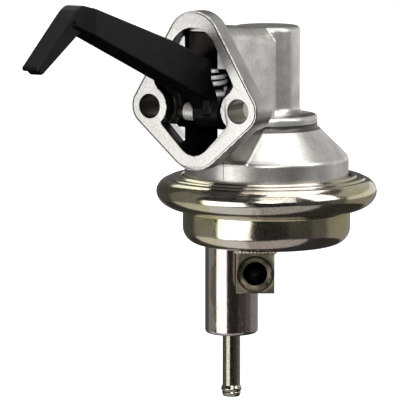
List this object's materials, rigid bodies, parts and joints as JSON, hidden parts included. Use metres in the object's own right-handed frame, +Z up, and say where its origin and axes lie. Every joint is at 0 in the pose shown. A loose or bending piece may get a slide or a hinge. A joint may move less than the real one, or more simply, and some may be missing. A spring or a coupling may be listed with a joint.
{
  "type": "mechanical fuel pump",
  "caption": "Mechanical fuel pump with a hooked rocker arm, die-cast body, rolled-rim lower cup, hose nipple and flare outlet block.",
  "frame": {"origin": "on the mounting face, midway between the two bolt holes", "axes": "+X to the right seen from the engine side, -Y out of the mounting face along the rocker arm, +Z up along the pumping axis"},
  "size_m": [0.1006, 0.2353, 0.1899],
  "materials": {
    "cast_aluminium": "as-cast grain with a milled mounting face",
    "blackened_steel": "forged steel with a dull black finish",
    "bright_steel": "ground bright",
    "spring_steel": "drawn wire",
    "yellow_zinc_plated_steel": "yellow zinc plating with a rainbow tint",
    "dark_zinc_plated_steel": "machined bar, darker yellow zinc plating",
    "rubberised_fabric": "fabric coated with rubber",
    "black_rubber": "moulded",
    "die_cast_zinc": null,
    "brass": "turned"
  },
  "bodies": {
    "housing": {"upper_body": "cast_aluminium", "rocker_pin": "bright_steel", "arm_return_spring": "spring_steel", "rod_seal": "black_rubber", "seal_retainer": "yellow_zinc_plated_steel", "diaphragm_spring": "spring_steel", "diaphragm": "rubberised_fabric", "lower_cup": "yellow_zinc_plated_steel", "valve_body": "die_cast_zinc", "chamber_gasket": "black_rubber", "inlet_valve_seat": "brass", "inlet_valve_cage": "bright_steel", "inlet_valve_spring": "spring_steel", "outlet_valve_seat": "brass", "outlet_valve_cage": "bright_steel", "outlet_valve_spring": "spring_steel", "inlet_canister": "yellow_zinc_plated_steel", "inlet_nipple": "yellow_zinc_plated_steel", "outlet_block": "dark_zinc_plated_steel"},
    "arm": {"rocker_arm": "blackened_steel", "arm_spring_seat": "bright_steel"},
    "rod": {"pull_rod": "bright_steel", "upper_plate": "yellow_zinc_plated_steel", "lower_plate": "yellow_zinc_plated_steel"},
    "inlet_disc": {"inlet_valve_disc": "black_rubber"},
    "outlet_disc": {"outlet_valve_disc": "black_rubber"}
  },
  "joints": [
    {"name": "arm_pivot", "type": "hinge", "parent": "housing", "child": "arm", "pos_m": [0, 0.01, -0.0024], "axis": [1, 0, 0], "range_deg": [0, 5], "stiffness_Nm_per_rad": 3, "springref_deg": -22.92, "deforming": ["arm_return_spring"]},
    {"name": "rod_lift", "type": "slide", "parent": "housing", "child": "rod", "axis": [0, 0, 1], "range_m": [0, 0.00458], "deforming": ["diaphragm_spring", "diaphragm"]},
    {"name": "inlet_valve_lift", "type": "slide", "parent": "housing", "child": "inlet_disc", "axis": [0, 0, 1], "range_m": [0, 0.0014], "stiffness_N_per_m": 5, "springref_m": -0.004, "deforming": ["inlet_valve_spring"]},
    {"name": "outlet_valve_lift", "type": "slide", "parent": "housing", "child": "outlet_disc", "axis": [0, 0, -1], "range_m": [0, 0.0014], "stiffness_N_per_m": 5, "springref_m": -0.004, "deforming": ["outlet_valve_spring"]}
  ],
  "couplings": [
    {"joint": "rod_lift", "follows": "arm_pivot", "m_per_rad": 0.05245}
  ]
}
